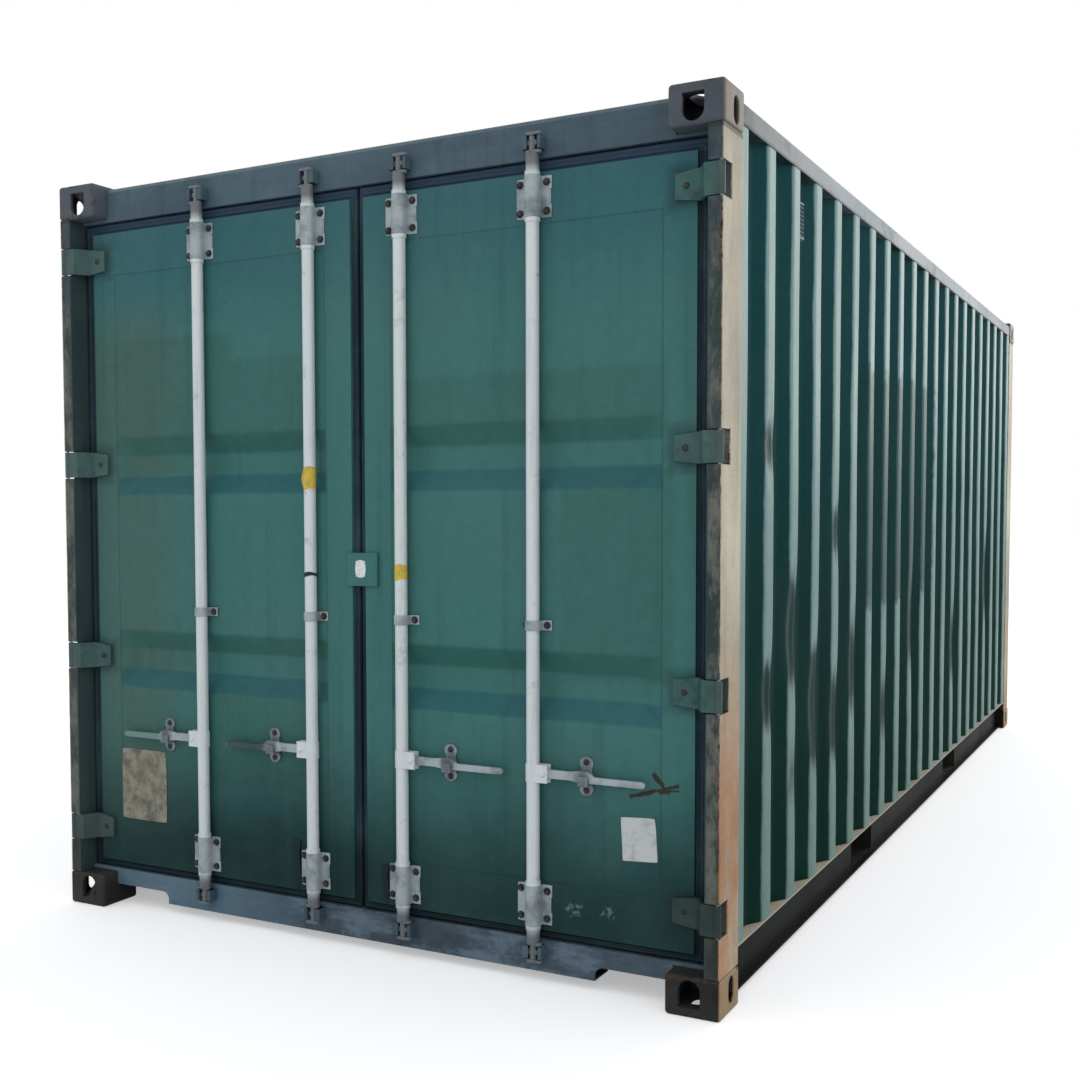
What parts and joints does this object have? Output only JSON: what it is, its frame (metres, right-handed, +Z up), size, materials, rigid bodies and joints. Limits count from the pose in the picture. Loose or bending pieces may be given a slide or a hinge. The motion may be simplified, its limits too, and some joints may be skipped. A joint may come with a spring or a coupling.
{
  "type": "shipping container",
  "caption": "Corrugated steel freight container with double end doors, lock bars with swing handles, corner castings and fork pockets.",
  "frame": {"origin": "middle of the base, on the ground plane under the corner castings", "axes": "+X along the length away from the doors, +Y to the left seen from the doors' outside, +Z up"},
  "size_m": [6.058, 2.438, 2.591],
  "materials": {
    "green_paint": "worn dark green enamel",
    "galvanised_steel": "weathered galvanised steel",
    "gasket_rubber": "aged black rubber",
    "cast_steel": "chipped paint over cast steel",
    "floor_plywood": "scuffed marine plywood",
    "vent_plastic": "moulded vent cover",
    "underside_paint": "dark underside coating"
  },
  "bodies": {
    "container_frame": {"top_corner_castings": "cast_steel", "bottom_corner_castings": "cast_steel", "right_rear_post": "green_paint", "left_rear_post": "green_paint", "right_front_post": "green_paint", "left_front_post": "green_paint", "door_header": "green_paint", "door_sill": "green_paint", "top_side_rails": "green_paint", "front_top_rail": "green_paint", "front_bottom_rail": "green_paint", "right_bottom_rail": "green_paint", "left_bottom_rail": "green_paint", "right_side_wall": "green_paint", "left_side_wall": "green_paint", "front_wall": "green_paint", "roof": "green_paint", "floor": "floor_plywood", "crossmembers": "underside_paint", "fork_pockets": "underside_paint", "side_vents": "vent_plastic", "hinge_pins": "green_paint", "cam_keepers": "green_paint"},
    "right_door": {"right_door_frame": "green_paint", "right_door_panel": "green_paint", "right_door_gasket": "gasket_rubber", "right_door_hinges": "green_paint", "right_door_bar_guides": "galvanised_steel", "right_door_handle_retainers": "galvanised_steel", "door_seam_plate": "green_paint"},
    "right_inner_bar": {"right_inner_lock_bar": "galvanised_steel"},
    "right_inner_handle": {"right_inner_handle": "galvanised_steel"},
    "right_outer_bar": {"right_outer_lock_bar": "galvanised_steel"},
    "right_outer_handle": {"right_outer_handle": "galvanised_steel"},
    "left_door": {"left_door_frame": "green_paint", "left_door_panel": "green_paint", "left_door_gasket": "gasket_rubber", "left_door_hinges": "green_paint", "left_door_bar_guides": "galvanised_steel", "left_door_handle_retainers": "galvanised_steel"},
    "left_inner_bar": {"left_inner_lock_bar": "galvanised_steel"},
    "left_inner_handle": {"left_inner_handle": "galvanised_steel"},
    "left_outer_bar": {"left_outer_lock_bar": "galvanised_steel"},
    "left_outer_handle": {"left_outer_handle": "galvanised_steel"}
  },
  "joints": [
    {"name": "right_door_swing", "type": "hinge", "parent": "container_frame", "child": "right_door", "pos_m": [-3.017, -1.207, 1.2], "axis": [0, 0, 1], "range_deg": [0, 270]},
    {"name": "right_inner_bar_turn", "type": "hinge", "parent": "right_door", "child": "right_inner_bar", "pos_m": [-2.983, -0.172, 1.2], "axis": [0, 0, 1], "range_deg": [-110, 0]},
    {"name": "right_inner_handle_lift", "type": "hinge", "parent": "right_inner_bar", "child": "right_inner_handle", "pos_m": [-2.983, -0.21, 0.643], "axis": [1, 0, 0], "range_deg": [-30, 0]},
    {"name": "right_outer_bar_turn", "type": "hinge", "parent": "right_door", "child": "right_outer_bar", "pos_m": [-2.983, -0.628, 1.2], "axis": [0, 0, 1], "range_deg": [-110, 0]},
    {"name": "right_outer_handle_lift", "type": "hinge", "parent": "right_outer_bar", "child": "right_outer_handle", "pos_m": [-2.983, -0.666, 0.643], "axis": [1, 0, 0], "range_deg": [-30, 0]},
    {"name": "left_door_swing", "type": "hinge", "parent": "container_frame", "child": "left_door", "pos_m": [-3.017, 1.207, 1.2], "axis": [0, 0, -1], "range_deg": [0, 270]},
    {"name": "left_inner_bar_turn", "type": "hinge", "parent": "left_door", "child": "left_inner_bar", "pos_m": [-2.983, 0.172, 1.2], "axis": [0, 0, -1], "range_deg": [-110, 0]},
    {"name": "left_inner_handle_lift", "type": "hinge", "parent": "left_inner_bar", "child": "left_inner_handle", "pos_m": [-2.983, 0.21, 0.643], "axis": [-1, 0, 0], "range_deg": [-30, 0]},
    {"name": "left_outer_bar_turn", "type": "hinge", "parent": "left_door", "child": "left_outer_bar", "pos_m": [-2.983, 0.628, 1.2], "axis": [0, 0, -1], "range_deg": [-110, 0]},
    {"name": "left_outer_handle_lift", "type": "hinge", "parent": "left_outer_bar", "child": "left_outer_handle", "pos_m": [-2.983, 0.666, 0.643], "axis": [-1, 0, 0], "range_deg": [-30, 0]}
  ]
}
